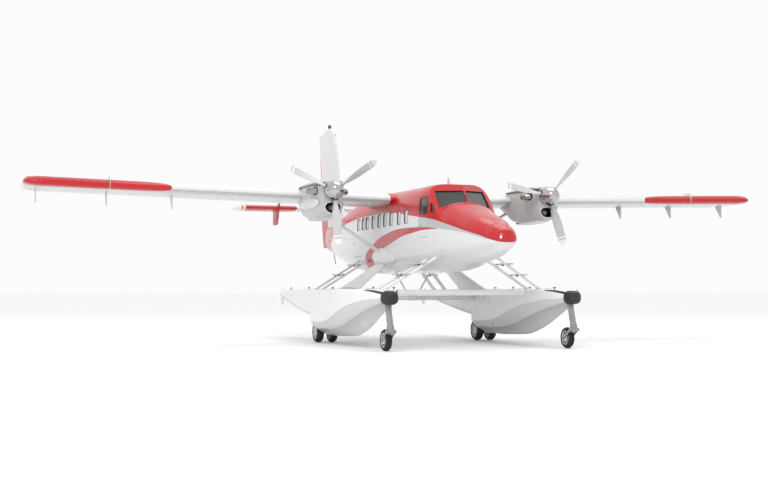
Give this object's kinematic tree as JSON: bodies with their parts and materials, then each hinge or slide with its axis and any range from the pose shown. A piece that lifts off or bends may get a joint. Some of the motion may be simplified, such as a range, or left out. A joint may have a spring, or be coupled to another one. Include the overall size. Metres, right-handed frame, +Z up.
{
  "type": "turboprop airliner",
  "caption": "High-wing commuter airliner with a turboprop on each wing, standing on amphibious floats with retractable wheels.",
  "frame": {"origin": "on the ground under the middle of the aircraft's box", "axes": "+Z up, -Y toward the nose, +X toward the port wing tip"},
  "size_m": [19.81, 15.39, 6.76],
  "materials": {
    "airframe_red": "gloss",
    "airframe_white": "gloss",
    "strut_white": "gloss",
    "float_white": "gloss",
    "nacelle_grey": "satin",
    "propeller_grey": "satin",
    "spinner_chrome": "polished",
    "engine_metal": "satin",
    "gear_metal": "satin",
    "bow_rubber": "matte",
    "tyre": "matte",
    "interior_dark": "matte",
    "windscreen_glass": "gloss"
  },
  "bodies": {
    "airframe": {"nose_section": "airframe_red", "cockpit_shell": "airframe_red", "cabin_shell": "airframe_white", "tail_cone": "airframe_red", "cabin_floor": "interior_dark", "instrument_panel": "interior_dark", "windscreen_left": "windscreen_glass", "windscreen_right": "windscreen_glass", "wing_left": "airframe_white", "wing_right": "airframe_white", "fin": "airframe_white", "tailplane": "airframe_red", "nacelle_left": "nacelle_grey", "nacelle_right": "nacelle_grey", "engine_left": "engine_metal", "engine_right": "engine_metal", "wing_strut_left": "strut_white", "wing_strut_right": "strut_white", "front_float_struts_left": "strut_white", "front_float_struts_right": "strut_white", "rear_float_struts_left": "strut_white", "rear_float_struts_right": "strut_white", "centre_float_strut_left": "strut_white", "centre_float_strut_right": "strut_white", "front_spreader": "strut_white", "middle_spreader": "strut_white", "float_left": "float_white", "float_right": "float_white", "bow_cover_left": "bow_rubber", "bow_cover_right": "bow_rubber", "bow_leg_left": "gear_metal", "bow_leg_right": "gear_metal", "main_leg_left": "gear_metal", "main_leg_right": "gear_metal"},
    "propeller_left": {"propeller_left": "propeller_grey", "spinner_left": "spinner_chrome"},
    "propeller_right": {"propeller_right": "propeller_grey", "spinner_right": "spinner_chrome"},
    "bow_fork_left": {"bow_fork_left": "gear_metal"},
    "bow_fork_right": {"bow_fork_right": "gear_metal"},
    "bow_wheel_left": {"bow_wheel_left": "tyre"},
    "bow_wheel_right": {"bow_wheel_right": "tyre"},
    "main_wheels_left": {"main_wheel_left_inner": "tyre", "main_wheel_left_outer": "tyre"},
    "main_wheels_right": {"main_wheel_right_inner": "tyre", "main_wheel_right_outer": "tyre"},
    "rudder": {"rudder": "airframe_white"},
    "elevator_left": {"elevator_left": "airframe_red"},
    "elevator_right": {"elevator_right": "airframe_red"},
    "flap_left": {"flap_left": "airframe_white"},
    "flap_right": {"flap_right": "airframe_white"},
    "aileron_left": {"aileron_left": "airframe_white"},
    "aileron_right": {"aileron_right": "airframe_white"},
    "crew_door_left": {"crew_door_left": "airframe_red"},
    "crew_door_right": {"crew_door_right": "airframe_red"},
    "cabin_door_left": {"cabin_door_left": "airframe_white"},
    "cabin_door_right": {"cabin_door_right": "airframe_white"},
    "water_rudder_left": {"water_rudder_left": "float_white"},
    "water_rudder_right": {"water_rudder_right": "float_white"}
  },
  "joints": [
    {"name": "propeller_left_spin", "type": "hinge", "parent": "airframe", "child": "propeller_left", "pos_m": [2.833, -3.875, 3.739], "axis": [0, 1, 0], "continuous": true},
    {"name": "propeller_right_spin", "type": "hinge", "parent": "airframe", "child": "propeller_right", "pos_m": [-2.833, -3.875, 3.739], "axis": [0, 1, 0], "continuous": true},
    {"name": "bow_fork_left_swivel", "type": "hinge", "parent": "airframe", "child": "bow_fork_left", "pos_m": [2.24, -6.315, 0.5], "axis": [0, 0.3084, 0.9512], "range_deg": [-45, 45]},
    {"name": "bow_fork_right_swivel", "type": "hinge", "parent": "airframe", "child": "bow_fork_right", "pos_m": [-2.24, -6.315, 0.5], "axis": [0, 0.3084, 0.9512], "range_deg": [-45, 45]},
    {"name": "bow_wheel_left_roll", "type": "hinge", "parent": "bow_fork_left", "child": "bow_wheel_left", "pos_m": [2.24, -5.995, 0.245], "axis": [1, 0, 0], "continuous": true},
    {"name": "bow_wheel_right_roll", "type": "hinge", "parent": "bow_fork_right", "child": "bow_wheel_right", "pos_m": [-2.24, -5.995, 0.245], "axis": [1, 0, 0], "continuous": true},
    {"name": "main_wheels_left_roll", "type": "hinge", "parent": "airframe", "child": "main_wheels_left", "pos_m": [2.24, -1.001, 0.28], "axis": [1, 0, 0], "continuous": true},
    {"name": "main_wheels_right_roll", "type": "hinge", "parent": "airframe", "child": "main_wheels_right", "pos_m": [-2.24, -1.001, 0.28], "axis": [1, 0, 0], "continuous": true},
    {"name": "rudder_hinge", "type": "hinge", "parent": "airframe", "child": "rudder", "pos_m": [0, 6.4768, 3], "axis": [0, 0.1387, 0.9903], "range_deg": [-18, 18]},
    {"name": "elevator_left_hinge", "type": "hinge", "parent": "airframe", "child": "elevator_left", "pos_m": [0.42, 6.5378, 3.95], "axis": [1, 0, 0], "range_deg": [-15, 25]},
    {"name": "elevator_right_hinge", "type": "hinge", "parent": "airframe", "child": "elevator_right", "pos_m": [-0.42, 6.5378, 3.95], "axis": [1, 0, 0], "range_deg": [-15, 25]},
    {"name": "flap_left_hinge", "type": "hinge", "parent": "airframe", "child": "flap_left", "pos_m": [0.93, -0.9019, 3.6574], "axis": [0.9997, 0, 0.0254], "range_deg": [-37, 0]},
    {"name": "flap_right_hinge", "type": "hinge", "parent": "airframe", "child": "flap_right", "pos_m": [-0.93, -0.9019, 3.6574], "axis": [0.9997, 0, -0.0254], "range_deg": [-37, 0]},
    {"name": "aileron_left_hinge", "type": "hinge", "parent": "airframe", "child": "aileron_left", "pos_m": [6.32, -0.9019, 3.7943], "axis": [0.9997, 0, 0.0254], "range_deg": [-17, 17]},
    {"name": "aileron_right_hinge", "type": "hinge", "parent": "airframe", "child": "aileron_right", "pos_m": [-6.32, -0.9019, 3.7943], "axis": [0.9997, 0, -0.0254], "range_deg": [-17, 17]},
    {"name": "crew_door_left_hinge", "type": "hinge", "parent": "airframe", "child": "crew_door_left", "pos_m": [0.814, -4.818, 3.115], "axis": [0, 0, 1], "range_deg": [-75, 0]},
    {"name": "crew_door_right_hinge", "type": "hinge", "parent": "airframe", "child": "crew_door_right", "pos_m": [-0.814, -4.818, 3.115], "axis": [0, 0, 1], "range_deg": [0, 75]},
    {"name": "cabin_door_left_hinge", "type": "hinge", "parent": "airframe", "child": "cabin_door_left", "pos_m": [0.889, 0.232, 2.87], "axis": [0, 0, 1], "range_deg": [-85, 0]},
    {"name": "cabin_door_right_hinge", "type": "hinge", "parent": "airframe", "child": "cabin_door_right", "pos_m": [-0.889, 0.232, 2.87], "axis": [0, 0, 1], "range_deg": [0, 85]},
    {"name": "water_rudder_left_pivot", "type": "hinge", "parent": "airframe", "child": "water_rudder_left", "pos_m": [2.24, 3.55, 1.3], "axis": [0, 0, 1], "range_deg": [-30, 30]},
    {"name": "water_rudder_right_pivot", "type": "hinge", "parent": "airframe", "child": "water_rudder_right", "pos_m": [-2.24, 3.55, 1.3], "axis": [0, 0, 1], "range_deg": [-30, 30]}
  ],
  "couplings": [
    {"joint": "elevator_right_hinge", "follows": "elevator_left_hinge", "ratio": 1},
    {"joint": "flap_right_hinge", "follows": "flap_left_hinge", "ratio": 1},
    {"joint": "aileron_right_hinge", "follows": "aileron_left_hinge", "ratio": -1}
  ]
}
